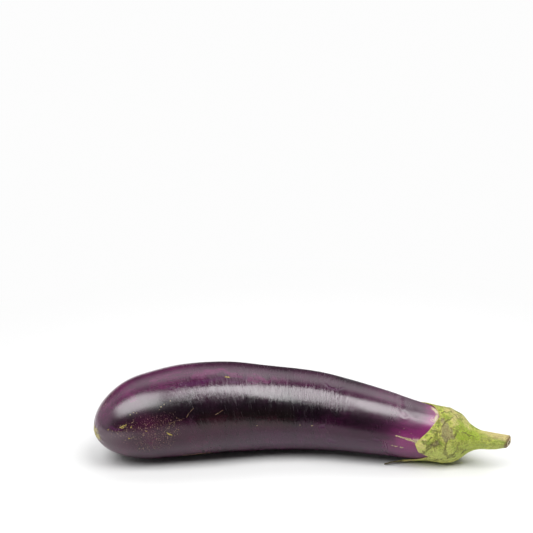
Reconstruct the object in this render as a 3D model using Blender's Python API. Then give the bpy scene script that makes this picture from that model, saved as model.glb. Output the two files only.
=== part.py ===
"""A long purple eggplant, as picked, lying on its side.

Two solids: the fruit, and the calyx with its stem, which grew as one piece and
wraps the fruit's neck. +X runs from the blossom end to the cut stem, +Y to the
convex side of the bend, +Z up. The underside rests on Z = 0.

Both solids are swept along one curved axis. A point on them is given by its
distance s along the axis from the blossom end, its angle about the axis and its
radius. Angle 0 faces -Y, 90 degrees up, 180 faces +Y and 270 down.
"""

import math

import bmesh
import bpy
import numpy as np

MM = 0.001

# The axis, from the blossom end to the cut stem: along, sideways, height, in mm.
# It sinks where the fruit and the calyx touch the surface, at three places.
AXIS = (
    (-112.7, -16.5, 20.2),
    (-84.0, -1.6, 23.35),
    (-54.0, 4.4, 26.0),
    (-18.0, 10.3, 23.45),
    (14.0, 8.6, 22.3),
    (42.0, 1.8, 20.2),
    (64.0, -2.4, 17.2),
    (80.0, -4.3, 15.15),
    (96.0, -10.3, 16.0),
    (119.0, -21.0, 19.0),
)
AXIS_SAMPLES = 1200

# Radius of the fruit at distances along the axis, in mm, before its two ends are
# rounded off. It is slimmer under the calyx.
FRUIT_GIRTH = (
    (0.0, 19.6),
    (30.0, 23.9),
    (52.0, 25.6),
    (80.0, 25.4),
    (105.0, 23.6),
    (130.0, 21.9),
    (155.0, 19.3),
    (176.0, 17.0),
    (189.0, 15.6),
    (198.0, 14.4),
    (208.0, 13.0),
)
FRUIT_LENGTH = 208.0
BLOSSOM_ROUNDING = 33.0
NECK_ROUNDING = 12.0
ROUNDING_POWER = 2.15
SCAR_RADIUS = 3.4
SCAR_DEPTH = 0.7

# The fruit is not quite round. Each wave: lobes per turn, share of the radius,
# phase in radians and turn along the fruit's length in radians.
OUT_OF_ROUND = ((2, 0.008, 0.6, 1.2), (3, 0.006, 2.1, -0.9), (5, 0.003, 4.0, 2.0))

FRUIT_COLUMNS = 40
BLOSSOM_ROWS = 12
BODY_ROWS = 26
NECK_ROWS = 6

# Clear space between the fruit and the calyx, in mm.
GAP = 0.3
SLOPE_STEP = 0.01

# Outer radius of the calyx and stem between its lobes, in mm.
TOTAL_LENGTH = 239.2
CALYX_PROFILE = (
    (190.0, 16.0),
    (196.0, 15.3),
    (201.0, 15.0),
    (206.0, 14.2),
    (211.0, 11.9),
    (216.0, 7.7),
    (221.0, 5.3),
    (228.0, 4.5),
    (235.0, 4.0),
    (240.0, 3.7),
)

# Each lobe swells over the fruit's shoulder and runs up the stem as a ridge.
KNEE_PLACE = 202.0
KNEE_LENGTH = 8.0
KNEE_HEIGHT = 0.9
RIDGE_START = 208.0
RIDGE_FULL = 222.0
RIDGE_SHARE = 0.16

# Each lobe: the angle where it starts and its first notch's place along the
# axis, then its tip's angle and place, how slanted the tip is, half its width in
# degrees, how fast the lobe narrows and how far its tip stands off the fruit. A
# lobe ends where the next one starts.
LOBES = (
    dict(start=-32.0, notch=194.5, tip=-9.0, reach=187.0, slant=-1.2, width=9.0, narrowing=1.0, lift=0.2),
    dict(start=68.0, notch=198.0, tip=150.0, reach=181.0, slant=0.0, width=1.6, narrowing=2.2, lift=0.4),
    dict(start=160.0, notch=197.0, tip=183.0, reach=169.0, slant=0.0, width=1.6, narrowing=1.5, lift=1.8),
    dict(start=207.0, notch=195.5, tip=230.0, reach=172.0, slant=0.0, width=1.6, narrowing=1.4, lift=0.5),
    dict(start=255.0, notch=194.0, tip=307.0, reach=168.0, slant=0.0, width=1.4, narrowing=1.9, lift=4.6),
)
LOBE_EDGE_THICKNESS = 0.65
LOBE_RIB_THICKNESS = 1.25
RIB_LOSS_AT_TIP = 0.4
LOBE_BLEND = 0.5
LIFT_POWER = 2.5

LOBE_COLUMNS = 10
LOBE_ROWS = 9
RING_ROWS = 24
INNER_ROWS = 8

# The cut end of the stem is slanted, with a worn edge and a hollow pith.
CUT_SLANT = 0.9
CUT_SLANT_ANGLE = 100.0
CUT_SLANT_START = 0.7
CUT_CHAMFER = 0.8
PITH_RADIUS = 1.3
PITH_FLOOR_RADIUS = 0.9
PITH_DEPTH = 1.6

SKIN_COLOUR = (0.045, 0.006, 0.035, 1.0)
SKIN_ROUGHNESS = 0.22
CALYX_COLOUR = (0.27, 0.31, 0.05, 1.0)
CALYX_ROUGHNESS = 0.55
SMOOTH_ANGLE = math.radians(40.0)
WELD_DISTANCE = 1e-7


def smooth_curve(places, table):
    """Values of a table at given places, joined by cubic curves."""
    table = np.array(table)
    keys = table[:, 0]
    values = table[:, 1:]
    slopes = np.gradient(values, keys, axis=0)
    places = np.asarray(places, dtype=float)
    index = np.clip(np.searchsorted(keys, places, side="right") - 1, 0, len(keys) - 2)
    step = keys[index + 1] - keys[index]
    t = ((places - keys[index]) / step)[..., None]
    step = step[..., None]
    start_value = (2 * t**3 - 3 * t**2 + 1) * values[index]
    start_slope = (t**3 - 2 * t**2 + t) * step * slopes[index]
    end_value = (3 * t**2 - 2 * t**3) * values[index + 1]
    end_slope = (t**3 - t**2) * step * slopes[index + 1]
    result = start_value + start_slope + end_value + end_slope
    return result[..., 0] if result.shape[-1] == 1 else result


def lengths_along(points):
    """Distance of each point along the line through the points."""
    steps = np.linalg.norm(np.diff(points, axis=0), axis=1)
    return np.concatenate([[0.0], np.cumsum(steps)])


def ramp(value, low, high):
    """0 below low, 1 above high, with a smooth rise between."""
    t = np.clip((value - low) / (high - low), 0.0, 1.0)
    return t * t * (3.0 - 2.0 * t)


class Axis:
    """The eggplant's curved axis, which every point is placed from."""

    def __init__(self, points):
        points = np.array(points)
        chords = lengths_along(points)
        table = np.column_stack([chords, points])
        self.points = smooth_curve(np.linspace(0.0, chords[-1], AXIS_SAMPLES), table)
        self.lengths = lengths_along(self.points)
        self.tangents = np.gradient(self.points, self.lengths, axis=0)

    def along(self, s, values):
        columns = [np.interp(s, self.lengths, values[:, i]) for i in range(3)]
        return np.stack(columns, axis=-1)

    def place(self, s, angle, radius):
        """World points in mm. Past either end the axis runs straight on."""
        s, angle, radius = np.broadcast_arrays(s, angle, radius)
        inside = np.clip(s, 0.0, self.lengths[-1])
        tangent = self.along(inside, self.tangents)
        tangent /= np.linalg.norm(tangent, axis=-1, keepdims=True)
        centre = self.along(inside, self.points) + tangent * (s - inside)[..., None]
        side = np.cross(tangent, (0.0, 0.0, 1.0))
        side /= np.linalg.norm(side, axis=-1, keepdims=True)
        up = np.cross(side, tangent)
        outward = np.cos(angle)[..., None] * side + np.sin(angle)[..., None] * up
        return centre + radius[..., None] * outward


def end_rounding(distance, depth):
    """Share of the full radius at a distance from a rounded end."""
    t = np.clip(distance / depth, 0.0, 1.0)
    return (1.0 - (1.0 - t) ** ROUNDING_POWER) ** (1.0 / ROUNDING_POWER)


def fruit_radius(s, angle):
    """Radius of the fruit's skin."""
    rounding = end_rounding(s, BLOSSOM_ROUNDING) * end_rounding(FRUIT_LENGTH - s, NECK_ROUNDING)
    waves = 1.0
    for lobes, share, phase, turn in OUT_OF_ROUND:
        waves = waves + share * np.cos(lobes * angle + phase + turn * s / FRUIT_LENGTH)
    return smooth_curve(s, FRUIT_GIRTH) * rounding * waves


def fruit_rows():
    """Distances of the fruit's rings, close together where its ends curve."""
    turn = np.linspace(0.0, math.pi / 2.0, BLOSSOM_ROWS + 1)[1:]
    blossom = BLOSSOM_ROUNDING * (1.0 - np.cos(turn))
    body = np.linspace(BLOSSOM_ROUNDING, FRUIT_LENGTH - NECK_ROUNDING, BODY_ROWS + 1)[1:]
    turn = np.linspace(0.0, math.pi / 2.0, NECK_ROWS + 1)[1:-1]
    neck = FRUIT_LENGTH - NECK_ROUNDING * (1.0 - np.sin(turn))
    return np.concatenate([blossom, body, neck])


def scar_dimple(radius):
    """How deep the blossom scar sinks into the end, at a radius from its middle."""
    share = np.clip(radius / SCAR_RADIUS, 0.0, 1.0)
    return SCAR_DEPTH * (1.0 - share**2) ** 2


def fruit_points(axis):
    """Rings of points on the fruit, with its two end points."""
    angle = np.linspace(0.0, 2.0 * math.pi, FRUIT_COLUMNS, endpoint=False)
    s = fruit_rows()
    s_grid, angle_grid = np.meshgrid(s, angle, indexing="ij")
    radius = fruit_radius(s_grid, angle_grid)
    at_blossom = s_grid < BLOSSOM_ROUNDING
    s_grid = s_grid + np.where(at_blossom, scar_dimple(radius), 0.0)
    rings = axis.place(s_grid, angle_grid, radius)
    blossom_end = axis.place(SCAR_DEPTH, 0.0, 0.0)
    neck_end = axis.place(FRUIT_LENGTH, 0.0, 0.0)
    return rings, blossom_end, neck_end


def lobe_share():
    """Places across a lobe, from -1 at its start to 1 at its end."""
    return np.linspace(-1.0, 1.0, LOBE_COLUMNS + 1)


def next_lobe(index):
    """The lobe after this one, with the angle where it starts in the same turn."""
    following = LOBES[(index + 1) % len(LOBES)]
    turn = 360.0 if index + 1 == len(LOBES) else 0.0
    return following, following["start"] + turn


def lobe_base(index, across):
    """Angle in degrees and place along the axis of a lobe's root line."""
    lobe = LOBES[index]
    following, end = next_lobe(index)
    share = (across + 1.0) / 2.0
    angle = lobe["start"] + (end - lobe["start"]) * share
    s = lobe["notch"] + (following["notch"] - lobe["notch"]) * share
    return angle, s


def calyx_outside(s, across):
    """Outer radius of the calyx above the lobes' root line, and of the stem."""
    middle = np.cos(across * math.pi / 2.0) ** 2
    knee = KNEE_HEIGHT * np.exp(-(((s - KNEE_PLACE) / KNEE_LENGTH) ** 2)) * middle
    ridge = RIDGE_SHARE * (middle - 0.5) * ramp(s, RIDGE_START, RIDGE_FULL)
    return smooth_curve(s, CALYX_PROFILE) * (1.0 + ridge) + knee


def under_calyx(s, angle):
    """The fruit's surface moved out by the gap: new place and radius."""
    before = fruit_radius(s - SLOPE_STEP, angle)
    after = fruit_radius(np.minimum(s + SLOPE_STEP, FRUIT_LENGTH), angle)
    slope = (before - after) / (2.0 * SLOPE_STEP)
    size = np.hypot(slope, 1.0)
    return s + GAP * slope / size, fruit_radius(s, angle) + GAP / size


def lobe_grid(index, rows):
    """Place, angle in radians, row share and column share of a lobe's points."""
    lobe = LOBES[index]
    down, across = np.meshgrid(rows, lobe_share(), indexing="ij")
    root_angle, root_s = lobe_base(index, across)
    start_angle, _ = lobe_base(index, -1.0)
    end_angle, _ = lobe_base(index, 1.0)
    half = (end_angle - start_angle) / 2.0
    middle = start_angle + half
    width = lobe["width"] + (half - lobe["width"]) * (1.0 - down) ** lobe["narrowing"]
    angle = middle + (lobe["tip"] - middle) * down + width * across
    s = root_s + (lobe["reach"] + lobe["slant"] * across - root_s) * down
    return s, np.radians(angle), down, across


def lobe_points(axis, index, rows):
    """Outer and inner points of a lobe below its root line."""
    lobe = LOBES[index]
    s, angle, down, across = lobe_grid(index, rows)
    inner_s, inner_radius = under_calyx(s, angle)
    inner_radius = inner_radius + lobe["lift"] * down**LIFT_POWER
    rib = np.cos(across * math.pi / 2.0) ** 2
    rib_height = (LOBE_RIB_THICKNESS - LOBE_EDGE_THICKNESS) * (1.0 - RIB_LOSS_AT_TIP * down)
    blade = LOBE_EDGE_THICKNESS + rib_height * rib
    root = calyx_outside(s, across) - fruit_radius(s, angle) - GAP
    thickness = root + (blade - root) * ramp(down, 0.0, LOBE_BLEND)
    outer = axis.place(s, angle, inner_radius + thickness)
    inner = axis.place(inner_s, angle, inner_radius)
    return outer, inner


def ring_columns():
    """Angle, root place and column share of every column round the calyx."""
    angles, places, shares = [], [], []
    for index in range(len(LOBES)):
        across = lobe_share()[:-1]
        angle, s = lobe_base(index, across)
        angles.append(np.radians(angle))
        places.append(s)
        shares.append(across)
    return np.concatenate(angles), np.concatenate(places), np.concatenate(shares)


def ring_points(axis):
    """Outer rows from the root line to the cut, and inner rows over the neck."""
    angle, root, across = ring_columns()
    share = np.linspace(0.0, 1.0, RING_ROWS + 1)[:, None]
    s = root + (TOTAL_LENGTH - CUT_CHAMFER - root) * share
    s = s + cut_slant(angle) * ramp(share, CUT_SLANT_START, 1.0)
    outer = axis.place(s, angle, calyx_outside(s, across))
    share = np.sin(np.linspace(0.0, math.pi / 2.0, INNER_ROWS + 1))[:-1, None]
    inner_s, inner_radius = under_calyx(root + (FRUIT_LENGTH - root) * share, angle)
    inner = axis.place(inner_s, angle, inner_radius)
    return outer, inner


def cut_slant(angle):
    """How far the slanted cut lies past its middle, at an angle about the stem."""
    return CUT_SLANT * np.cos(angle - math.radians(CUT_SLANT_ANGLE))


def cut_points(axis):
    """Rings on the cut end: its worn edge, the pith's rim and the pith's floor."""
    angle, _, across = ring_columns()
    rim = calyx_outside(TOTAL_LENGTH, across) - CUT_CHAMFER
    flat = TOTAL_LENGTH + cut_slant(angle) * rim / (rim + CUT_CHAMFER)
    edge = axis.place(flat, angle, rim)
    pith_rim = axis.place(TOTAL_LENGTH, angle, PITH_RADIUS)
    pith_floor = axis.place(TOTAL_LENGTH - PITH_DEPTH, angle, PITH_FLOOR_RADIUS)
    return edge, pith_rim, pith_floor


def add_points(mesh, points):
    """Adds a row of points, in mm, and returns their vertices."""
    return [mesh.verts.new(point * MM) for point in points]


def join_rows(mesh, first, second, closed):
    """Faces between two rows of vertices that match one to one."""
    count = len(first)
    for i in range(count if closed else count - 1):
        j = (i + 1) % count
        mesh.faces.new((first[i], first[j], second[j], second[i]))


def join_to_point(mesh, row, point):
    """A fan of faces from a closed row to one vertex."""
    for i, vertex in enumerate(row):
        mesh.faces.new((vertex, row[(i + 1) % len(row)], point))


def make_fruit(axis):
    """The fruit's mesh."""
    rings, blossom_end, neck_end = fruit_points(axis)
    mesh = bmesh.new()
    rows = [add_points(mesh, ring) for ring in rings]
    for first, second in zip(rows, rows[1:]):
        join_rows(mesh, first, second, closed=True)
    join_to_point(mesh, rows[0], mesh.verts.new(blossom_end * MM))
    join_to_point(mesh, rows[-1], mesh.verts.new(neck_end * MM))
    return mesh


def close_lobe(mesh, outer, inner):
    """Faces of one lobe: outside, inside, its two edges and its tip."""
    for rows in (outer, inner):
        for first, second in zip(rows, rows[1:]):
            join_rows(mesh, first, second, closed=False)
    for side in (0, -1):
        outer_edge = [row[side] for row in outer]
        inner_edge = [row[side] for row in inner]
        join_rows(mesh, outer_edge, inner_edge, closed=False)
    join_rows(mesh, outer[-1], inner[-1], closed=False)


def add_lobe(mesh, axis, index, outer_root, inner_root):
    """Hangs one lobe from the calyx's root line."""
    share = np.linspace(0.0, 1.0, LOBE_ROWS + 1)[1:]
    outer_points, inner_points = lobe_points(axis, index, share)
    columns = [(index * LOBE_COLUMNS + i) % len(outer_root) for i in range(LOBE_COLUMNS + 1)]
    outer = [[outer_root[c] for c in columns]]
    inner = [[inner_root[c] for c in columns]]
    outer += [add_points(mesh, row) for row in outer_points]
    inner += [add_points(mesh, row) for row in inner_points]
    close_lobe(mesh, outer, inner)


def make_calyx(axis):
    """The mesh of the calyx and stem."""
    outer_points, inner_points = ring_points(axis)
    mesh = bmesh.new()
    outer = [add_points(mesh, row) for row in outer_points]
    inner = [add_points(mesh, row) for row in inner_points]
    cut = [add_points(mesh, row) for row in cut_points(axis)]
    for rows in (outer + cut, inner):
        for first, second in zip(rows, rows[1:]):
            join_rows(mesh, first, second, closed=True)
    pith_middle = axis.place(TOTAL_LENGTH - PITH_DEPTH, 0.0, 0.0)
    join_to_point(mesh, cut[-1], mesh.verts.new(pith_middle * MM))
    neck_top = axis.place(FRUIT_LENGTH + GAP, 0.0, 0.0)
    join_to_point(mesh, inner[-1], mesh.verts.new(neck_top * MM))
    for index in range(len(LOBES)):
        add_lobe(mesh, axis, index, outer[0], inner[0])
    return mesh


def flatten_underside(mesh):
    """Cuts the mesh level with the surface it rests on."""
    everything = mesh.verts[:] + mesh.edges[:] + mesh.faces[:]
    bmesh.ops.bisect_plane(
        mesh,
        geom=everything,
        dist=WELD_DISTANCE,
        plane_co=(0, 0, 0),
        plane_no=(0, 0, 1),
        clear_inner=True,
    )
    rim = [edge for edge in mesh.edges if edge.is_boundary]
    bmesh.ops.holes_fill(mesh, edges=rim, sides=0)


def make_material(name, colour, roughness):
    material = bpy.data.materials.new(name)
    material.use_nodes = True
    shader = material.node_tree.nodes["Principled BSDF"]
    shader.inputs["Base Color"].default_value = colour
    shader.inputs["Roughness"].default_value = roughness
    shader.inputs["Metallic"].default_value = 0.0
    return material


def make_object(name, mesh, material):
    """Turns a bmesh into a named, smooth-shaded object."""
    flatten_underside(mesh)
    bmesh.ops.recalc_face_normals(mesh, faces=mesh.faces)
    data = bpy.data.meshes.new(name)
    mesh.to_mesh(data)
    mesh.free()
    data.shade_smooth()
    data.set_sharp_from_angle(angle=SMOOTH_ANGLE)
    data.materials.append(material)
    part = bpy.data.objects.new(name, data)
    bpy.context.scene.collection.objects.link(part)
    return part


def centre_on_origin(parts):
    """Moves the parts so that the middle of their common box is over the origin."""
    corners = np.array([vertex.co for part in parts for vertex in part.data.vertices])
    middle = (corners.min(axis=0) + corners.max(axis=0)) / 2.0
    for part in parts:
        part.location = (-middle[0], -middle[1], 0.0)


def main():
    for old in list(bpy.data.objects):
        bpy.data.objects.remove(old)
    axis = Axis(AXIS)
    skin = make_material("eggplant_skin", SKIN_COLOUR, SKIN_ROUGHNESS)
    green = make_material("calyx_green", CALYX_COLOUR, CALYX_ROUGHNESS)
    fruit = make_object("fruit", make_fruit(axis), skin)
    calyx = make_object("calyx_and_stem", make_calyx(axis), green)
    centre_on_origin([fruit, calyx])


main()
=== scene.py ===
"""How a long purple eggplant looks: its skin, its calyx and stem, and a pale studio.

The eggplant lies on its side. +X runs from the blossom end to the cut stem, +Y to
the convex side of the bend, +Z up, and the surface it lies on is Z = 0. A point on
it is given by its distance s along one curved axis, in mm from the blossom end, its
angle about the axis and its radius. Angle 0 faces -Y, 90 degrees up, 180 faces +Y
and 270 down.
"""

import math

import bmesh
import bpy
import numpy as np
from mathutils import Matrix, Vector


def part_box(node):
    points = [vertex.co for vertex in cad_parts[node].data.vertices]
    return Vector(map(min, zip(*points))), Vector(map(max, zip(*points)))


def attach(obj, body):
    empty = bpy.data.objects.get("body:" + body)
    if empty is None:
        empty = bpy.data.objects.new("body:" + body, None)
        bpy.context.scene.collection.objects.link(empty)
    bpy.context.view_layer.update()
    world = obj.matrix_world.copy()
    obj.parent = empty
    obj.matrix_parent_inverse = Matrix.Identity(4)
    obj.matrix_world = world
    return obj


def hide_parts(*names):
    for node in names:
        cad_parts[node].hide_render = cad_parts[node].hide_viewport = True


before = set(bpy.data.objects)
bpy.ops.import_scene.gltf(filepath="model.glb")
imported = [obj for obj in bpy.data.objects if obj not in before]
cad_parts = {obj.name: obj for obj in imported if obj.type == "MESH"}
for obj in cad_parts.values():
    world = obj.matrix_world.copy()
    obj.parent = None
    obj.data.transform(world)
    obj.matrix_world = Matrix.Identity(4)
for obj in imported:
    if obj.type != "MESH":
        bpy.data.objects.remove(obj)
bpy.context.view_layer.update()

MM = 0.001
TURN = 2.0 * math.pi

# The eggplant's axis, from the blossom end to the cut stem: along, sideways, height.
AXIS = (
    (-112.7, -16.5, 20.2), (-84, -1.6, 23.35), (-54, 4.4, 26), (-18, 10.3, 23.45),
    (14, 8.6, 22.3), (42, 1.8, 20.2), (64, -2.4, 17.2), (80, -4.3, 15.15), (96, -10.3, 16),
    (119, -21, 19),
)
AXIS_SAMPLES = 1200

# Radius of the fruit at distances along the axis, before its ends are rounded off.
FRUIT_GIRTH = (
    (0, 19.6), (30, 23.9), (52, 25.6), (80, 25.4), (105, 23.6), (130, 21.9), (155, 19.3),
    (176, 17), (189, 15.6), (198, 14.4), (208, 13),
)
FRUIT_LENGTH = 208.0
BLOSSOM_ROUNDING = 33.0
NECK_ROUNDING = 12.0
ROUNDING_POWER = 2.15
OUT_OF_ROUND = ((2, 0.008, 0.6, 1.2), (3, 0.006, 2.1, -0.9), (5, 0.003, 4.0, 2.0))
SCAR_RADIUS = 3.4
SCAR_DEPTH = 0.7
SCAR_RIM_HEIGHT = 0.22
SCAR_PUCKER_HEIGHT = 0.12

FRUIT_COLUMNS = 240
BLOSSOM_ROWS = 64
BODY_ROWS = 250
NECK_ROWS = 16

# Gentle unevenness of the skin: its height in mm, the number of waves, their lengths
# in mm and the most of them round the girth; and the folds by the calyx.
SKIN_RIPPLE = 0.085
SKIN_RIPPLE_WAVES = 16
SKIN_RIPPLE_LENGTHS = (22.0, 75.0)
SKIN_RIPPLE_LOBES = 3
NECK_FOLD_HEIGHT = 0.07

# A low crest along the upper front: its height along the fruit, angle and half width.
CREST_ALONG = (
    (0, 0), (22, 0), (36, 0.16), (60, 0.3), (74, 0.24), (94, 0), (118, -0.14), (140, 0), (208, 0),
)
CREST_ANGLE = 50.0
CREST_WIDTH = 8.5

# Dents of the skin: a path of (s, degrees), half width and depth in mm. The one with
# a depth below 0 is a low swelling. Each has a raised rim, a share of its depth high.
DENT_RIM_SHARE = 0.35
SKIN_DENTS = (
    (((173.6, 94), (174.6, 76), (175.6, 62), (178, 52)), 1.2, 0.28),
    (((180, 84), (183.5, 58)), 1.6, 0.14),
    (((38, 75), (38, 30)), 8, -0.3),
    (((133.5, 3.5), (136.5, 5.5)), 0.6, 0.13),
    (((139, -18), (144.5, -21)), 0.8, 0.13),
    (((164.5, -5), (167, -6.5)), 0.6, 0.12),
    (((157.5, -11), (160, -11.5)), 0.5, 0.1),
    (((120, -21.5), (124, -22.5)), 0.6, 0.1),
    (((132.5, 73), (135.5, 67), (140.5, 66.5), (143.5, 74)), 0.6, 0.07),
    (((166.5, 150), (168.5, 120)), 1.3, 0.22),
    (((186, 215), (184, 180)), 1.4, 0.2),
)

# Skin tone along the fruit, and how much darker two bands round its girth are: painted
# shade along the front below the lamps' highlight, and a fainter dark band on the far side.
TONE_ALONG = (
    (0, 0.4), (30, 0.44), (60, 0.42), (120, 0.4), (165, 0.44), (186, 0.6), (208, 0.9),
)
PAINTED_SHADE_ALONG = (
    (0, 0.05), (30, 0.34), (60, 0.38), (120, 0.42), (160, 0.25), (186, 0.05), (208, 0),
)
SHADE_BAND_ANGLE = 25.0
SHADE_BAND_RISE = 15.0
SHADE_BAND_WIDTH = 18.0
FAR_BAND_SHARE = 0.6
FAR_BAND_WIDTH = 40.0

# How far other places are from that tone: paler, or darker where below 0.
# The top of the bulb is paler and rosier: partly skin colour, partly painted light from above.
TOP_TONE_AND_PAINTED_LIGHT = 0.12
NECK_TONE = 0.3
TONE_RIPPLE = 0.05
PAINTED_SHADE_TONE = -0.14
ROSY_TONE = 0.2
PAINTED_HIGHLIGHT_TONE = 0.16
PALE_TONE = 0.85
WARMTH = 0.45

# How dull the skin is by the neck and by the blossom end.
NECK_DULLNESS = 0.75
BLOSSOM_DULLNESS = 0.25

# Soft marks on the skin, with painted shade and a painted highlight among them: a path of (s,
# degrees) and its half width in mm.
BROWNED = (((62, 9), (112, 13), 2.5),)
# Painted shade along the top of the fruit and beside the neck fold.
PAINTED_SHADE_LINES = (
    ((66, 112), (86, 96), 2), ((86, 98), (150, 104), 1), ((178.5, 86), (182, 70), 0.5),
)
ROSY = (
    ((84, 63.5), (94, 65), 0.1), ((95, 66.5), (108, 68.5), 0.2), ((60, 74), (78, 75), 0.5),
)
DULL_PLACES = (((92, 195), (110, 190), 5),)
SPECKLED = (
    ((12, 14), (42, 8), 4), ((20, -14), (38, -10), 2), ((14, 200), (34, 190), 5),
    ((10, 110), (24, 120), 3),
)
BRUISES = (
    ((5.5, 34), (7, 23), 0.3), ((7, 23), (9.8, 21.5), 0.35), ((52, 60.5), (55, 60.5), 0.75),
    ((55.5, 59.5), (59.5, 59.5), 0.95), ((59.5, 59.5), (63, 61), 0.8),
    ((63.6, 61), (64.8, 62.5), 0.7), ((66, 61.5), (67.6, 62.5), 0.5), ((69, 64), (71, 65), 0.5),
    ((75.5, 59), (79, 58.5), 0.5), ((45.6, 58), (46.4, 57.5), 0.4), ((49.5, 55), (50, 55), 0.35),
    ((54, 54), (54.4, 54), 0.25), ((62, 55), (62.5, 55.5), 0.3), ((83, 65.5), (84.6, 66), 0.4),
    ((87, 60), (87.5, 60), 0.3), ((133.5, 3.5), (136.5, 5.5), 0.45),
    ((139.5, -19), (144.5, -21), 0.5), ((164.5, -5), (167, -6.5), 0.35),
    ((157.5, -11), (160, -11.5), 0.3), ((120, -21.5), (124, -22.5), 0.3),
    ((132.5, 73), (135.5, 67), 0.02), ((135.5, 67), (140.5, 66.5), 0.1),
    ((140.5, 66.5), (143.5, 74), 0.02), ((70, 140), (73, 143), 0.4),
    ((150, 200), (153, 198), 0.5), ((96, 228), (99, 230), 0.4),
)
# Painted highlight: soft pale pink glows on the skin beside the calyx.
PAINTED_HIGHLIGHT_HALOS = (((194.5, 66), (193.5, 50), 0.5), ((193, 92), (197, 80), 0.3))
PALE_PATCHES = (
    ((192.6, 90), (195, 84), (198, 79), 0.4), ((194.4, 57), (196.2, 66), 0.3),
    ((186.5, 4.5), (189, 2.5), 0.1), ((193, 150), (195.6, 158), 0.3),
    ((191.5, 199), (194, 206), 0.3), ((190.5, 249), (193, 256), 0.3),
)

# Small corky crusts, pale dots and scratches: start and end as (s, degrees), half
# width in mm.
SCABS = (
    ((9, 25.5), (13, 27), 0.4), ((9.6, 22.8), (11.4, 24), 0.25), ((38.2, 2), (42.2, -4), 0.6),
    ((72.5, 66.5), (75.5, 66), 0.45), ((12, 2), (13.2, 1), 0.35),
    ((14.2, 20.5), (15.2, 21.5), 0.3), ((22, 10), (23.2, 9), 0.25), ((4, 27), (4.6, 29.5), 0.3),
    ((33, 152), (36, 155), 0.4), ((61, 201), (64.5, 197), 0.45), ((97, 168), (100, 171), 0.35),
    ((127, 138), (129.5, 141), 0.3), ((25, 236), (28.5, 238), 0.45),
)
PALE_MARKS = (
    ((16, 41), (16.6, 40.6), 0.32), ((18.2, 42), (18.7, 41.8), 0.24),
    ((19.6, 39.8), (20.2, 39.4), 0.2), ((37.2, 36), (37.9, 36.8), 0.42),
    ((39.8, 38.2), (40.4, 38.4), 0.34), ((35.6, 33.6), (36.1, 33.8), 0.2),
    ((44.3, 41), (44.8, 41.4), 0.28), ((91.2, 2), (91.9, 2), 0.24), ((120, 4), (121, 4.3), 0.2),
    ((127.4, 3.8), (128.8, 4.6), 0.26), ((175.4, 10.2), (177.6, 9.2), 0.4),
    ((177, 9.6), (181, 7.6), 0.55), ((180.4, 7.6), (184.4, 5.2), 0.8),
    ((182, 8.6), (184, 7.4), 0.35), ((183.8, 5.8), (188.2, 2.6), 0.6),
    ((174.2, -11.4), (175.6, -12), 0.3), ((175.7, -12), (177.8, -12.8), 0.5),
    ((178.8, -13.4), (180.8, -14.2), 0.6), ((177, 18), (177.5, 18.2), 0.26),
    ((183, 19.5), (183.6, 19), 0.22), ((179, 26), (179.4, 26), 0.18),
    ((185, 140), (189, 137), 0.32), ((184, 262), (189, 264), 0.36), ((181, 226), (183, 224), 0.3),
)
SCRATCHES = (
    ((52.5, 17), (54, 22), 0.2), ((54, 22), (57, 28), 0.1), ((66.5, 17), (68.4, 19.4), 0.16),
    ((68.6, 19.6), (70.6, 22.2), 0.09), ((41, 13), (45.5, 14.4), 0.09),
    ((46, 14.6), (51.5, 16.5), 0.07), ((83, 145), (90, 150), 0.1), ((110, 190), (114, 198), 0.12),
    ((29, 26), (29.5, 26.8), 0.16), ((24, 19), (24.6, 19.4), 0.16), ((31, 14.5), (31.6, 15), 0.2),
    ((46.4, 3), (47.4, 3.6), 0.18), ((34.5, -12), (35.4, -12.6), 0.2),
    ((28.4, -6), (29.2, -6.2), 0.18), ((47.5, -48), (66, -50), 0.35),
)
CRUST_HEIGHT = 0.13
CRUST_SINK = 0.03
CRUST_STEP = 0.35
CRUST_END_ROWS = 5
CRUST_COLUMNS = 5

# Clear space between the fruit and the calyx, and the step that the slope is read over.
GAP = 0.12
SLOPE_STEP = 0.01

# Outer radius of the calyx and stem between its lobes.
TOTAL_LENGTH = 239.2
CALYX_PROFILE = (
    (190, 16), (196, 15.3), (201, 15), (206, 14.2), (211, 11.9), (216, 7.7), (221, 5.3),
    (228, 4.5), (235, 4), (240, 3.7),
)
KNEE_PLACE = 202.0
KNEE_LENGTH = 8.0
KNEE_HEIGHT = 0.9
RIDGE_START = 208.0
RIDGE_FULL = 222.0
RIDGE_SHARE = 0.16

# The stem is thinner at its cut end along its lower front: its angle and half width
# in degrees, where it starts, and how much thinner it is.
THINNED_ANGLE = 296.0
THINNED_WIDTH = 48.0
THINNED_FROM = 231.0
THINNED_SHARE = 0.26

# Each lobe: the angle where it starts and its first notch's place along the axis,
# its tip's angle and place, how slanted the tip is and half its width in degrees,
# how fast the lobe narrows, how far its tip stands off the fruit, how dry the tip is
# and how far down the lobe its dryness starts.
LOBE_VALUES = "start notch tip reach slant width narrowing lift dry dry_from".split()
LOBE_TABLE = (
    (-32, 194.5, -9, 187, -1.2, 9, 1, 0.2, 0.7, 0.6),
    (68, 198, 150, 181, 0, 1.6, 2.2, 0.4, 1.1, 0.5),
    (160, 197, 183, 169, 0, 1.6, 1.5, 1.8, 1.4, 0.4),
    (207, 195.5, 230, 172, 0, 1.6, 1.4, 0.5, 1.2, 0.5),
    (255, 194, 307, 172.5, 0, 0.9, 3.2, 4.4, 2.2, 0),
)
LOBES = [dict(zip(LOBE_VALUES, row)) for row in LOBE_TABLE]
LOBE_EDGE_THICKNESS = 0.4
LOBE_RIB_THICKNESS = 1.15
RIB_LOSS_AT_TIP = 0.4
LOBE_BLEND = 0.5
LIFT_POWER = 2.5

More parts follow.
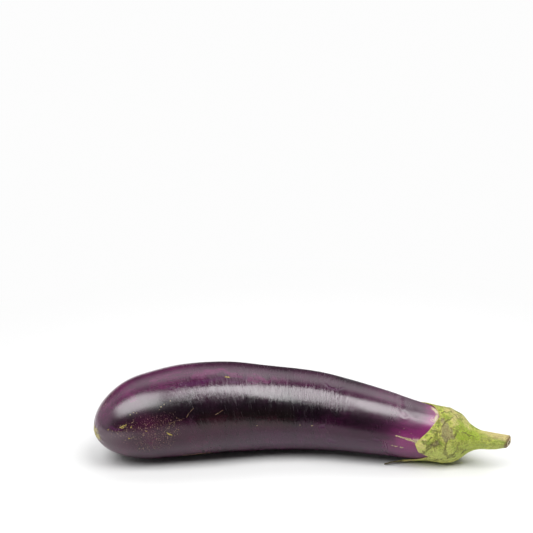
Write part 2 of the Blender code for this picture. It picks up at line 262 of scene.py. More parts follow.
# Unevenness of the calyx. Its folds: a path of (s, degrees), half width and depth in
# mm. The ease widens them all, and each has a raised rim, a share of its depth high.
WRINKLE_HEIGHT = 0.17
LUMP_HEIGHT = 0.24
CREASE_EASE = 0.25
CREASE_RIM_SHARE = 0.3
CREASES = (
    ((192.2, -4), (195.8, 8), (201.8, 18), 0.42, 0.36),
    ((190.8, -14), (196.2, -2), (202.6, 8), 0.55, 0.44),
    ((189.4, -26), (192.4, -15), 0.2, 0.16), ((188.6, 9), (191.4, 2), (192.6, -4), 0.15, 0.14),
    ((191.2, 8), (194.2, 18), 0.2, 0.18), ((207.4, 20), (206, -12), (206.6, -32), 0.15, 0.26),
    ((207.2, -32), (209, -25), (211.8, -22), 0.5, 0.34), ((208, -36), (211, -34), 0.5, 0.3),
    ((200, -40), (206.6, -34), 0.3, 0.2), ((196, -46), (206, -47), (212, -52), 0.15, 0.2),
    ((214.4, -39), (215.2, -36), 0.5, 0.25), ((211.8, 44), (211.6, 26), 0.05, 0.16),
    ((214.6, 50), (218.2, 41), (221.6, 41), 0.03, 0.2), ((203.5, 52), (207.5, 76), 0.2, 0.2),
    ((198.5, 80), (206, 92), 0.2, 0.2), ((200, 30), (204, 58), 0.25, 0.2),
    ((206, 90), (212, 84), 0.15, 0.16), ((198, 150), (206, 170), 0.3, 0.3),
    ((201, 196), (210, 182), 0.3, 0.3), ((200, 230), (207, 215), 0.35, 0.3),
    ((203, 262), (211, 250), 0.35, 0.3),
)

# Patches on the calyx and a painted rim light along its lower edge: a path and its half
# width in mm. The last number is how dry the dry patches are.
GREY_PATCHES = (
    ((203.4, 56), (207.4, 24), 2), ((209, 40), (210.4, 24), 0.6), ((195.5, 3), (200.5, 11), 0.3),
    ((202, 205), (206, 190), 2.2),
)
LIME_PATCHES = (
    ((212.6, 68), (218.5, 48), 2.2), ((218, 60), (222, 40), 1.2), ((213.6, 34), (215.6, 28), 0.8),
    ((201.2, 78), (205, 64), 0.3), ((214, 220), (220, 190), 2),
)
DRY_PATCHES = (
    ((203, 100), (214, 96), 2.6), ((208.6, 76), (210.4, 64), 0.8),
    ((188.6, -22), (189.6, 4), 1.2), ((204, 170), (211, 150), 1.6), ((205, 240), (210, 228), 1.6),
)
PAINTED_RIM_LIGHT = (((193.4, -55), (200.6, -51), (207.4, -55), (213.4, -61), 0.3),)
DRY_PATCH_SHARE = 0.46

LOBE_COLUMNS = 32
LOBE_ROWS = 44
RING_ROWS = 150
INNER_ROWS = 20
CUT_ROWS = 5

CUT_SLANT = 0.9
CUT_SLANT_ANGLE = 100.0
CUT_SLANT_START = 0.7
CUT_CHAMFER = 0.8
PITH_RADIUS = 1.3
PITH_FLOOR_RADIUS = 0.9
PITH_DEPTH = 1.6

SMOOTH_ANGLE = math.radians(50.0)

# The photograph: its width in pixels, the lens's focal length in those pixels, the
# pixel that the middle of the eggplant is seen at, and where it was taken from.
PHOTO_SIZE = 533.0
FOCAL_PIXELS = 1502.0
MIDDLE_PIXEL = (302.5, 412.0)
SENSOR_WIDTH = 36.0
VIEW_ELEVATION = math.radians(27.0)
VIEW_DISTANCE = 850.0
VIEW_HEIGHT = 26.0


def smooth_curve(places, table):
    """Values of a table at given places, joined by cubic curves."""
    table = np.array(table)
    keys = table[:, 0]
    values = table[:, 1:]
    slopes = np.gradient(values, keys, axis=0)
    places = np.asarray(places, dtype=float)
    index = np.clip(np.searchsorted(keys, places, side="right") - 1, 0, len(keys) - 2)
    step = keys[index + 1] - keys[index]
    t = ((places - keys[index]) / step)[..., None]
    step = step[..., None]
    start_value = (2 * t**3 - 3 * t**2 + 1) * values[index]
    start_slope = (t**3 - 2 * t**2 + t) * step * slopes[index]
    end_value = (3 * t**2 - 2 * t**3) * values[index + 1]
    end_slope = (t**3 - t**2) * step * slopes[index + 1]
    result = start_value + start_slope + end_value + end_slope
    return result[..., 0] if result.shape[-1] == 1 else result


def lengths_along(points):
    """Distance of each point along the line through the points."""
    steps = np.linalg.norm(np.diff(points, axis=0), axis=1)
    return np.concatenate([[0.0], np.cumsum(steps)])


def ramp(value, low, high):
    """0 below low, 1 above high, with a smooth rise between."""
    t = np.clip((value - low) / (high - low), 0.0, 1.0)
    return t * t * (3.0 - 2.0 * t)


def bell(share):
    """1 at 0, falling evenly towards 0 on both sides."""
    return np.exp(-(share**2))


def turned_from(angle, middle):
    """How many degrees an angle in radians is past a middle angle in degrees."""
    return (np.degrees(angle) - middle + 180.0) % 360.0 - 180.0


def ripples(s, angle, count, lengths, most_lobes, seed):
    """Random waves over a surface, each closed round the girth; mostly -1 to 1."""
    rng = np.random.default_rng(seed)
    total = 0.0
    for _ in range(count):
        length = rng.uniform(*lengths)
        lobes = rng.integers(-most_lobes, most_lobes + 1)
        phase = rng.uniform(0.0, TURN)
        total = total + np.cos(TURN * s / length + lobes * angle + phase)
    return total / math.sqrt(count)


class Axis:
    """The eggplant's curved axis, which every point is placed from."""

    def __init__(self, points):
        points = np.array(points)
        chords = lengths_along(points)
        table = np.column_stack([chords, points])
        self.points = smooth_curve(np.linspace(0.0, chords[-1], AXIS_SAMPLES), table)
        self.lengths = lengths_along(self.points)
        self.tangents = np.gradient(self.points, self.lengths, axis=0)

    def along(self, s, values):
        columns = [np.interp(s, self.lengths, values[:, i]) for i in range(3)]
        return np.stack(columns, axis=-1)

    def place(self, s, angle, radius):
        """World points in mm. Past either end the axis runs straight on."""
        s, angle, radius = np.broadcast_arrays(s, angle, radius)
        inside = np.clip(s, 0.0, self.lengths[-1])
        tangent = self.along(inside, self.tangents)
        tangent /= np.linalg.norm(tangent, axis=-1, keepdims=True)
        centre = self.along(inside, self.points) + tangent * (s - inside)[..., None]
        side = np.cross(tangent, (0.0, 0.0, 1.0))
        side /= np.linalg.norm(side, axis=-1, keepdims=True)
        up = np.cross(side, tangent)
        outward = np.cos(angle)[..., None] * side + np.sin(angle)[..., None] * up
        return centre + radius[..., None] * outward


AXIS_LINE = Axis(AXIS)


def new_object(name, data):
    """An object in the scene with the mesh, light or camera given."""
    thing = bpy.data.objects.new(name, data)
    bpy.context.scene.collection.objects.link(thing)
    return thing


class Surface:
    """Collects points, the values that the materials read there, and faces."""

    def __init__(self):
        self.points = []
        self.values = {"place": [], "paint": [], "wear": []}
        self.faces = []
        self.count = 0

    def add(self, s, angle, radius, paint=(0.0, 0.0, 0.0), wear=(0.0, 0.0, 0.0)):
        """Adds a grid of points with its values, and returns the grid of their numbers."""
        s, angle, radius, *values = np.broadcast_arrays(s, angle, radius, *paint, *wear)
        points = AXIS_LINE.place(s, angle, radius)
        points[..., 2] = np.maximum(points[..., 2], 0.0)
        self.points.append(points.reshape(-1, 3))
        straight = np.stack([s, radius * np.cos(angle), radius * np.sin(angle)], axis=-1)
        self.values["place"].append(straight.reshape(-1, 3))
        self.values["paint"].append(np.stack(values[:3], axis=-1).reshape(-1, 3))
        self.values["wear"].append(np.stack(values[3:], axis=-1).reshape(-1, 3))
        numbers = self.count + np.arange(s.size).reshape(s.shape)
        self.count += s.size
        return numbers

    def bridge(self, grid, closed):
        """Four-sided faces between neighbouring rows of a grid."""
        right = np.roll(grid, -1, axis=1)
        first, second = grid[:-1], grid[1:]
        first_right, second_right = right[:-1], right[1:]
        cells = np.stack([first, first_right, second_right, second], axis=-1)
        if not closed:
            cells = cells[:, :-1]
        self.faces += cells.reshape(-1, 4).tolist()

    def close(self, row, s, paint=(0.0, 0.0, 0.0)):
        """Triangles from a closed row to a new point on the axis."""
        point = self.add(np.array([s]), 0.0, 0.0, paint)
        following = np.roll(row, -1)
        middle = np.full_like(row, point[0])
        self.faces += np.stack([row, following, middle], axis=-1).tolist()

    def make(self, name, material):
        """The object, in metres, with its normals pointing out."""
        data = bpy.data.meshes.new(name)
        data.from_pydata((np.concatenate(self.points) * MM).tolist(), [], self.faces)
        mesh = bmesh.new()
        mesh.from_mesh(data)
        bmesh.ops.recalc_face_normals(mesh, faces=mesh.faces)
        mesh.to_mesh(data)
        mesh.free()
        for value_name, parts in self.values.items():
            values = np.concatenate(parts).astype(np.float32)
            attribute = data.attributes.new(value_name, "FLOAT_VECTOR", "POINT")
            attribute.data.foreach_set("vector", values.ravel())
        data.shade_smooth()
        data.set_sharp_from_angle(angle=SMOOTH_ANGLE)
        data.materials.append(material)
        return new_object(name, data)


def end_rounding(distance, depth):
    """Share of the full radius at a distance from a rounded end."""
    t = np.clip(distance / depth, 0.0, 1.0)
    return (1.0 - (1.0 - t) ** ROUNDING_POWER) ** (1.0 / ROUNDING_POWER)


def fruit_radius(s, angle):
    """Radius of the fruit's skin without its fine relief."""
    rounding = end_rounding(s, BLOSSOM_ROUNDING) * end_rounding(FRUIT_LENGTH - s, NECK_ROUNDING)
    waves = 1.0
    for lobes, share, phase, turn in OUT_OF_ROUND:
        waves = waves + share * np.cos(lobes * angle + phase + turn * s / FRUIT_LENGTH)
    return smooth_curve(s, FRUIT_GIRTH) * rounding * waves


def fruit_rows():
    """Distances of the fruit's rings, close together where its ends curve."""
    turn = np.linspace(0.0, math.pi / 2.0, BLOSSOM_ROWS + 1)[1:]
    blossom = BLOSSOM_ROUNDING * (1.0 - np.cos(turn))
    body = np.linspace(BLOSSOM_ROUNDING, FRUIT_LENGTH - NECK_ROUNDING, BODY_ROWS + 1)[1:]
    turn = np.linspace(0.0, math.pi / 2.0, NECK_ROWS + 1)[1:-1]
    neck = FRUIT_LENGTH - NECK_ROUNDING * (1.0 - np.sin(turn))
    return np.concatenate([blossom, body, neck])


def distance_to_line(s, angle, start, end, girth):
    """How far a place is from a short line drawn on the skin or the calyx, in mm."""
    radius = smooth_curve(s, girth)
    middle_angle = math.radians((start[1] + end[1]) / 2.0)
    turned = (angle - middle_angle + math.pi) % TURN - math.pi
    half_turn = math.radians(end[1] - start[1]) / 2.0
    half_length = (end[0] - start[0]) / 2.0
    point = np.stack([s - (start[0] + end[0]) / 2.0, radius * turned], axis=-1)
    half = np.stack([np.full_like(s, half_length), radius * half_turn], axis=-1)
    share = (point * half).sum(-1) / (half * half).sum(-1)
    nearest = half * np.clip(share, -1.0, 1.0)[..., None]
    return np.linalg.norm(point - nearest, axis=-1)


def distance_to_path(s, angle, path, girth):
    """How far a place is from a line through several places, in mm."""
    legs = [distance_to_line(s, angle, start, end, girth) for start, end in zip(path, path[1:])]
    return np.minimum.reduce(legs)


def near_lines(s, angle, lines, blur, girth=FRUIT_GIRTH):
    """1 on any of the lines, falling to 0 over the blur beside them."""
    nearest = np.full_like(s, 99.0)
    for *path, half_width in lines:
        nearest = np.minimum(nearest, distance_to_path(s, angle, path, girth) - half_width)
    return 1.0 - ramp(nearest, 0.0, blur)


def bent(s, angle, along, around, lengths, lobes, seed):
    """Places moved a little by random waves, to make drawn marks ragged."""
    moved_s = s + along * ripples(s, angle, 12, lengths, lobes, seed)
    return moved_s, angle + around * ripples(s, angle, 12, lengths, lobes, seed + 1)


def scar_edge(angle):
    """Radius of the blossom scar's ragged rim."""
    return SCAR_RADIUS * (1.0 + 0.14 * np.cos(2 * angle + 0.7) + 0.1 * np.cos(5 * angle + 2.0))


def scar_dimple(radius, angle):
    """How deep the scar sinks into the blossom end, with its raised rim."""
    share = radius / scar_edge(angle)
    dimple = SCAR_DEPTH * (1.0 - np.clip(share, 0.0, 1.0) ** 2) ** 2
    rim = SCAR_RIM_HEIGHT * bell((share - 1.0) / 0.22)
    pucker = SCAR_PUCKER_HEIGHT * bell((share - 1.5) / 0.5) * np.cos(9.0 * angle)
    return dimple - rim + pucker


def skin_relief(s, angle):
    """Height of the skin's unevenness and dents."""
    waves = ripples(s, angle, SKIN_RIPPLE_WAVES, SKIN_RIPPLE_LENGTHS, SKIN_RIPPLE_LOBES, 5)
    height = SKIN_RIPPLE * waves * ramp(s, 0.0, 14.0)
    for path, half_width, depth in SKIN_DENTS:
        share = distance_to_path(s, angle, path, FRUIT_GIRTH) / half_width
        height = height - depth * (bell(share) - DENT_RIM_SHARE * bell((share - 1.8) / 0.9))
    turned = turned_from(angle, CREST_ANGLE)
    height = height + smooth_curve(s, CREST_ALONG) * bell(turned / CREST_WIDTH)
    folds = np.cos(9.0 * angle + 0.6) + 0.6 * np.cos(14.0 * angle + 2.1)
    return height + NECK_FOLD_HEIGHT * folds * ramp(s, 176.0, 194.0)


def skin_paint(s, angle, scar_share):
    """Tone from near black, 0, over magenta, 1, to cream, 2, with painted shade and painted light
    in it; scar share; warmth.
    """
    up = np.sin(angle)
    # Painted shade: a darker band along the front of the skin, and a fainter one on the far side.
    band_angle = SHADE_BAND_ANGLE + SHADE_BAND_RISE * (1.0 - ramp(s, 25.0, 62.0))
    degrees = turned_from(angle, band_angle)
    band = bell(degrees / SHADE_BAND_WIDTH)
    far_band = FAR_BAND_SHARE * bell((np.abs(degrees) - 180.0) / FAR_BAND_WIDTH)
    tone = smooth_curve(s, TONE_ALONG) - smooth_curve(s, PAINTED_SHADE_ALONG) * (band + far_band)
    # Partly rosier skin, partly painted light from above: the top of the bulb is paler.
    tone = tone + TOP_TONE_AND_PAINTED_LIGHT * ramp(up, 0.6, 0.92) * (1.0 - ramp(s, 50.0, 90.0))
    tone = tone + NECK_TONE * ramp(s, 156.0, 184.0) * bell((degrees + 18.0) / 36.0)
    tone = tone + TONE_RIPPLE * ripples(s, angle, 14, (14.0, 70.0), 3, 21)
    # Painted shade along the top and beside the neck fold.
    tone = tone + PAINTED_SHADE_TONE * near_lines(s, angle, PAINTED_SHADE_LINES, 7.0)
    rosy = near_lines(*bent(s, angle, 3.0, 0.06, (6.0, 24.0), 9, 51), ROSY, 4.0)
    tone = tone + ROSY_TONE * rosy
    # Painted highlight: pale pink glows beside the calyx.
    tone = tone + PAINTED_HIGHLIGHT_TONE * near_lines(s, angle, PAINTED_HIGHLIGHT_HALOS, 7.0)
    moved = bent(s, angle, 0.7, 0.04, (3.0, 9.0), 12, 61)
    pale = near_lines(*moved, PALE_PATCHES, 3.2)
    tone = tone + PALE_TONE * pale
    warm = WARMTH * ramp(-degrees, -8.0, 25.0) * (1.0 - ramp(s, 60.0, 110.0))
    browned = near_lines(s, angle, BROWNED, 6.0)
    return np.clip(tone, 0.0, 2.0), scar_share, np.maximum(warm, browned)


def skin_wear(s, angle):
    """How bruised, how dull and how speckled the skin is."""
    bruise = near_lines(s, angle, BRUISES, 0.9)
    dull = near_lines(s, angle, DULL_PLACES, 22.0)
    wavy = s + 5.0 * np.sin(3.0 * angle + 1.0) + 3.0 * np.sin(8.0 * angle)
    dull = np.maximum(dull, NECK_DULLNESS * ramp(wavy, 150.0, 192.0))
    dull = np.maximum(dull, BLOSSOM_DULLNESS * (1.0 - ramp(s, 16.0, 60.0)))
    low = near_lines(s, angle, SPECKLED, 12.0)
    dust = 0.28 + 0.1 * ripples(s, angle, 10, (12.0, 40.0), 4, 12) - 0.25 * ramp(s, 50.0, 110.0)
    return bruise, dull, np.clip(np.maximum(dust, low), 0.0, 1.0)


def make_fruit(material):
    """The fruit."""
    angle = np.linspace(0.0, TURN, FRUIT_COLUMNS, endpoint=False)
    s, angle = np.meshgrid(fruit_rows(), angle, indexing="ij")
    radius = fruit_radius(s, angle)
    at_blossom = s < BLOSSOM_ROUNDING
    scar_share = np.where(at_blossom, radius / scar_edge(angle), 9.0)
    sunk = s + np.where(at_blossom, scar_dimple(radius, angle), 0.0)
    height = skin_relief(s, angle) * (1.0 - ramp(s, FRUIT_LENGTH - 14.0, FRUIT_LENGTH - 11.0))
    surface = Surface()
    paint = skin_paint(s, angle, scar_share)
    rings = surface.add(sunk, angle, radius + height, paint, skin_wear(s, angle))
    surface.bridge(rings, closed=True)
    surface.close(rings[0], SCAR_DEPTH, (0.5, 0.0, 0.0))
    surface.close(rings[-1], FRUIT_LENGTH, (0.5, 9.0, 0.0))
    return surface.make("eggplant_fruit", material)


def add_crust(surface, start, end, half_width, paint, rng):
    """A thin ragged crust on the skin, its edges sunk just under the surface."""
    girth = float(fruit_radius(np.array(start[0]), math.radians(start[1])))
    step = np.array([end[0] - start[0], girth * math.radians(end[1] - start[1])])
    length = float(np.linalg.norm(step))
    rows = CRUST_END_ROWS + int(length / CRUST_STEP)
    along = np.linspace(0.0, 1.0, rows)[:, None]
    across = np.linspace(-1.0, 1.0, CRUST_COLUMNS)
    rounding = np.sqrt(np.sin(math.pi * (0.04 + 0.92 * along)))
    width = half_width * rounding * rng.uniform(0.45, 1.35, (rows, 1))
    offset = half_width * rng.uniform(-0.45, 0.45, (rows, 1)) + width * across
    s = start[0] + step[0] * along - step[1] / length * offset
    angle = math.radians(start[1]) + (step[1] * along + step[0] / length * offset) / girth
    lift = CRUST_HEIGHT * (1.0 - across**2) * rng.uniform(0.6, 1.3, (rows, 1)) - CRUST_SINK
    lift[[0, -1]] = -CRUST_SINK
    radius = fruit_radius(s, angle) + skin_relief(s, angle) + lift
    shade = rng.uniform(0.75, 1.1, (rows, 1))
    grid = surface.add(s, angle, radius, [value * shade for value in paint])
    surface.bridge(grid, closed=False)


def make_crusts(material):
    """All the small corky crusts, dots and scratches of the skin."""
    rng = np.random.default_rng(17)
    surface = Surface()
    for paint, marks in ((SCAB_YELLOW, SCABS), (CREAM, PALE_MARKS), (TAN, SCRATCHES)):
        for start, end, half_width in marks:
            add_crust(surface, start, end, half_width, paint[:3], rng)
    return surface.make("eggplant_skin_crusts", material)


def lobe_share():
    """Places across a lobe, from -1 at its start to 1 at its end."""
    return np.linspace(-1.0, 1.0, LOBE_COLUMNS + 1)


def lobe_base(index, across):
    """Angle in degrees and place along the axis of a lobe's root line."""
    lobe = LOBES[index]
    following = LOBES[(index + 1) % len(LOBES)]
    end = following["start"] + (360.0 if index + 1 == len(LOBES) else 0.0)
    share = (across + 1.0) / 2.0
    angle = lobe["start"] + (end - lobe["start"]) * share
    s = lobe["notch"] + (following["notch"] - lobe["notch"]) * share
    return angle, s


def calyx_outside(s, angle, across):
    """Outer radius of the calyx above the lobes' root line, and of the stem."""
    middle = np.cos(across * math.pi / 2.0) ** 2
    knee = KNEE_HEIGHT * bell((s - KNEE_PLACE) / KNEE_LENGTH) * middle
    ridge = RIDGE_SHARE * (middle - 0.5) * ramp(s, RIDGE_START, RIDGE_FULL)
    below = bell(turned_from(angle, THINNED_ANGLE) / THINNED_WIDTH)
    thinned = THINNED_SHARE * below * ramp(s, THINNED_FROM, TOTAL_LENGTH)
    return smooth_curve(s, CALYX_PROFILE) * (1.0 + ridge - thinned) + knee


def calyx_relief(s, angle):
    """Height of the calyx's wrinkles and folds and the stem's fibres."""
    wrinkles = WRINKLE_HEIGHT * ripples(s, angle, 26, (3.0, 9.0), 11, 33)
    lumps = LUMP_HEIGHT * ripples(s, angle, 12, (10.0, 26.0), 5, 8)
    fibres = 0.07 * np.cos(13.0 * angle + 0.05 * s) + 0.05 * np.cos(23.0 * angle + 1.3 + 0.08 * s)
    height = wrinkles * (1.0 - ramp(s, 210.0, 222.0)) + lumps * (1.0 - ramp(s, 212.0, 226.0))
    height = height + fibres * ramp(s, 206.0, 220.0)
    for *path, half_width, depth in CREASES:
        share = distance_to_path(s, angle, path, CALYX_PROFILE) / (half_width + CREASE_EASE)
        height = height - depth * (bell(share) - CREASE_RIM_SHARE * bell((share - 2.0) / 0.9))
    return height


def calyx_wear(s, angle, dry):
    """How much painted shade darkens a crease, how grey or lime the green is, and how dry the
    tissue is.
    """
    lines = [crease[:-1] for crease in CREASES]
    crease = near_lines(*bent(s, angle, 0.5, 0.035, (2.0, 6.0), 14, 71), lines, 1.0, CALYX_PROFILE)
    moved = bent(s, angle, 0.9, 0.06, (5.0, 14.0), 7, 73)
    grey = near_lines(*moved, GREY_PATCHES, 1.8, CALYX_PROFILE)
    lime = near_lines(*moved, LIME_PATCHES, 2.5, CALYX_PROFILE)
    dry_patch = near_lines(*moved, DRY_PATCHES, 3.0, CALYX_PROFILE)
    return crease, lime - grey, np.maximum(dry, DRY_PATCH_SHARE * dry_patch)


def under_calyx(s, angle):
    """The fruit's surface moved out by the gap: new place and radius."""
    before = fruit_radius(s - SLOPE_STEP, angle)
    after = fruit_radius(np.minimum(s + SLOPE_STEP, FRUIT_LENGTH), angle)
    slope = (before - after) / (2.0 * SLOPE_STEP)
    size = np.hypot(slope, 1.0)
    return s + GAP * slope / size, fruit_radius(s, angle) + GAP / size


def lobe_grid(index, rows):
    """Place, angle, row share and column share of a lobe's points."""
    lobe = LOBES[index]
    down, across = np.meshgrid(rows, lobe_share(), indexing="ij")
    root_angle, root_s = lobe_base(index, across)
    start_angle, _ = lobe_base(index, -1.0)
    end_angle, _ = lobe_base(index, 1.0)
    half = (end_angle - start_angle) / 2.0
    middle = start_angle + half
    width = lobe["width"] + (half - lobe["width"]) * (1.0 - down) ** lobe["narrowing"]
    angle = middle + (lobe["tip"] - middle) * down + width * across
    s = root_s + (lobe["reach"] + lobe["slant"] * across - root_s) * down
    wave = np.sin(5.2 * down + 1.7 * index) + 0.6 * np.sin(13.0 * down + 2.3 * index)
    s = s + 0.35 * wave * np.abs(across) ** 3 * np.sin(math.pi * down)
    return s, np.radians(angle), down, across


def cut_slant(angle):
    """How far the slanted cut lies past its middle, at an angle about the stem."""
    return CUT_SLANT * np.cos(angle - math.radians(CUT_SLANT_ANGLE))


def add_lobe(surface, index, outer_root, inner_root):
    """Hangs one lobe from the calyx's root line."""
    lobe = LOBES[index]
    rows = np.linspace(0.0, 1.0, LOBE_ROWS + 1)[1:]
    s, angle, down, across = lobe_grid(index, rows)
    inner_s, inner_radius = under_calyx(s, angle)
    inner_radius = inner_radius + lobe["lift"] * down**LIFT_POWER
    rib = np.cos(across * math.pi / 2.0) ** 2
    rib_height = (LOBE_RIB_THICKNESS - LOBE_EDGE_THICKNESS) * (1.0 - RIB_LOSS_AT_TIP * down)
    blade = LOBE_EDGE_THICKNESS + rib_height * rib
    root = calyx_outside(s, angle, across) - fruit_radius(s, angle) - GAP
    thickness = root + (blade - root) * ramp(down, 0.0, LOBE_BLEND)
    relief = calyx_relief(s, angle) * (1.0 - 0.6 * ramp(down, 0.0, 1.0))
    thickness = np.maximum(thickness + relief * (1.0 - np.abs(across) ** 4), 0.25)
    rim = np.maximum(np.abs(across) ** 6 * ramp(down, 0.0, 0.1), down**6)
    dry = lobe["dry"] * ramp(down, lobe["dry_from"], 1.0)
    wear = calyx_wear(s, angle, dry)
    outer = surface.add(s, angle, inner_radius + thickness, (down, rim, 0.0), wear)
    inner = surface.add(inner_s, angle, inner_radius, (down, rim, 0.0), wear)
    count = len(outer_root)
    columns = (index * LOBE_COLUMNS + np.arange(LOBE_COLUMNS + 1)) % count
    outer = np.vstack([outer_root[columns], outer])
    inner = np.vstack([inner_root[columns], inner])
    surface.bridge(outer, closed=False)
    surface.bridge(inner, closed=False)
    for side in (0, -1):
        surface.bridge(np.stack([outer[:, side], inner[:, side]]), closed=False)
    surface.bridge(np.stack([outer[-1], inner[-1]]), closed=False)


def ring_columns():
    """Angle, root place and column share of every column round the calyx."""
    angles, places, shares = [], [], []
    for index in range(len(LOBES)):
        across = lobe_share()[:-1]
        angle, s = lobe_base(index, across)
        angles.append(np.radians(angle))
        places.append(s)
        shares.append(across)
    return np.concatenate(angles), np.concatenate(places), np.concatenate(shares)


def add_cut(surface, angle, across, last_ring):
    """The cut end of the stem, from its worn edge to the bottom of the pith."""
    stem = calyx_outside(TOTAL_LENGTH, angle, across)
    rim = stem - CUT_CHAMFER
    rings = [last_ring]
    for step in range(CUT_ROWS + 1):
        share = step / CUT_ROWS
        radius = rim + (PITH_RADIUS - rim) * share
        rough = 0.12 * np.cos(7.0 * angle + 3.0 * share)
        s = TOTAL_LENGTH + cut_slant(angle) * radius / stem + rough
        rings.append(surface.add(s, angle, radius, (0.0, 0.0, 2.0 + share)))
    rings.append(surface.add(TOTAL_LENGTH - PITH_DEPTH, angle, PITH_FLOOR_RADIUS, (0.0, 0.0, 4.0)))
    surface.bridge(np.stack(rings), closed=True)
    surface.close(rings[-1], TOTAL_LENGTH - PITH_DEPTH, (0.0, 0.0, 4.0))


def make_calyx(material):
    """The calyx with its lobes, and the stem."""
    angle, root, across = ring_columns()
    share = np.linspace(0.0, 1.0, RING_ROWS + 1)[:, None]
    s = root + (TOTAL_LENGTH - CUT_CHAMFER - root) * share
    relief = calyx_relief(s, angle) * (1.0 - ramp(share, 0.97, 1.0))
    radius = calyx_outside(s, angle, across) + relief
    s = s + cut_slant(angle) * ramp(share, CUT_SLANT_START, 1.0)
    surface = Surface()
    around = angle + 0.0 * s
    # Painted rim light: a pale line along the calyx's lower edge.
    rim = near_lines(s, around, PAINTED_RIM_LIGHT, 0.7, CALYX_PROFILE)
    outer = surface.add(s, angle, radius, (0.0, rim, 0.0), calyx_wear(s, around, 0.0))
    share = np.sin(np.linspace(0.0, math.pi / 2.0, INNER_ROWS + 1))[:-1, None]
    inner_s, inner_radius = under_calyx(root + (FRUIT_LENGTH - root) * share, angle)
    inner = surface.add(inner_s, angle, inner_radius)
    surface.bridge(outer, closed=True)
    surface.bridge(inner, closed=True)
    surface.close(inner[-1], FRUIT_LENGTH + GAP)
    add_cut(surface, angle, across, outer[-1])
    for index in range(len(LOBES)):
        add_lobe(surface, index, outer[0], inner[0])
    return surface.make("eggplant_calyx_and_stem", material)


class Nodes:
    """Adds shader nodes to a material or world and joins them."""

    def __init__(self, tree):
        self.tree = tree

    def add(self, kind, inputs=(), **settings):
        node = self.tree.nodes.new(kind)
        for name, value in settings.items():
            setattr(node, name, value)
        self.fill(node, dict(inputs))
        return node

    def fill(self, node, inputs):
        for key, value in inputs.items():
            if isinstance(value, bpy.types.NodeSocket):
                self.tree.links.new(value, node.inputs[key])
            else:
                node.inputs[key].default_value = value

    def math(self, operation, a, b=0.0):
        return self.add("ShaderNodeMath", {0: a, 1: b}, operation=operation).outputs[0]

    def times(self, a, b):
        return self.math("MULTIPLY", a, b)

    def vector(self, operation, a, b=(0.0, 0.0, 0.0)):
        node = self.add("ShaderNodeVectorMath", {0: a, 1: b}, operation=operation)
        return node.outputs["Value" if operation in ("LENGTH", "DOT_PRODUCT") else "Vector"]

    def ramp(self, value, low, high, start=0.0, end=1.0):
        """start below low, end above high, with a smooth change between."""
        inputs = {"Value": value, "From Min": low, "From Max": high, "To Min": start, "To Max": end}
        node = self.add("ShaderNodeMapRange", inputs, interpolation_type="SMOOTHSTEP")
        return node.outputs["Result"]

    def mix(self, factor, a, b):
        node = self.add("ShaderNodeMix", {0: factor, 6: a, 7: b}, data_type="RGBA")
        return node.outputs[2]

    def noise(self, vector, scale, detail=2.0, roughness=0.5, distortion=0.0):
        inputs = {"Vector": vector, "Scale": scale, "Detail": detail}
        inputs |= {"Roughness": roughness, "Distortion": distortion}
        return self.add("ShaderNodeTexNoise", inputs).outputs["Fac"]

    def attribute(self, name):
        return self.add("ShaderNodeAttribute", attribute_name=name).outputs["Vector"]

    def split(self, vector):
        return self.add("ShaderNodeSeparateXYZ", {"Vector": vector}).outputs

    def sum(self, *values):
        total = values[0]
        for value in values[1:]:
            total = self.math("ADD", total, value)
        return total

    def swing(self, value, size):
        """A 0 to 1 value turned into one from -size to size."""
        return self.times(self.math("SUBTRACT", value, 0.5), 2.0 * size)


def new_material(name):
    material = bpy.data.materials.new(name)
    material.use_nodes = True
    shader = material.node_tree.nodes["Principled BSDF"]
    return material, Nodes(material.node_tree), shader


def finish_surface(n, shader, paint, roughness, relief, bump_distance):
    """Gives the shader its colour, roughness and fine relief."""
    bump = n.add("ShaderNodeBump", {"Height": relief, "Distance": bump_distance, "Strength": 1.0})
    normal = bump.outputs["Normal"]
    n.fill(shader, {"Base Color": paint, "Roughness": roughness, "Normal": normal})


def colour(red, green, blue):
    return (red, green, blue, 1.0)


def grey(value):
    return colour(value, value, value)


NEAR_BLACK = colour(0.0045, 0.0006, 0.0035)
PURPLE = colour(0.036, 0.002, 0.023)
MAGENTA = colour(0.18, 0.011, 0.104)
WARMER = (0.85, 2.2, 0.5)
BRUISE = colour(0.045, 0.0014, 0.034)
SCAB_YELLOW = colour(0.42, 0.36, 0.07)
CREAM = colour(0.5, 0.46, 0.26)
TAN = colour(0.27, 0.19, 0.1)
SCAR_GREEN = colour(0.33, 0.3, 0.06)
SCAR_BROWN = colour(0.12, 0.07, 0.025)

# Fine marks round the girth: how far they slant and how much longer than wide they
# are, where along the skin they come and go, and how strong they stay beyond.
COMBING_SLANT = math.radians(-14.0)
COMBING_STRETCH = 4.6
COMBING_STARTS = (38.0, 60.0, 0.15, 1.0)
COMBING_ENDS = (135.0, 162.0, 1.0, 0.2)
SKIN_ROUGHNESS = 0.2
SKIN_IOR = 1.75
FINE_BUMP = 0.0002


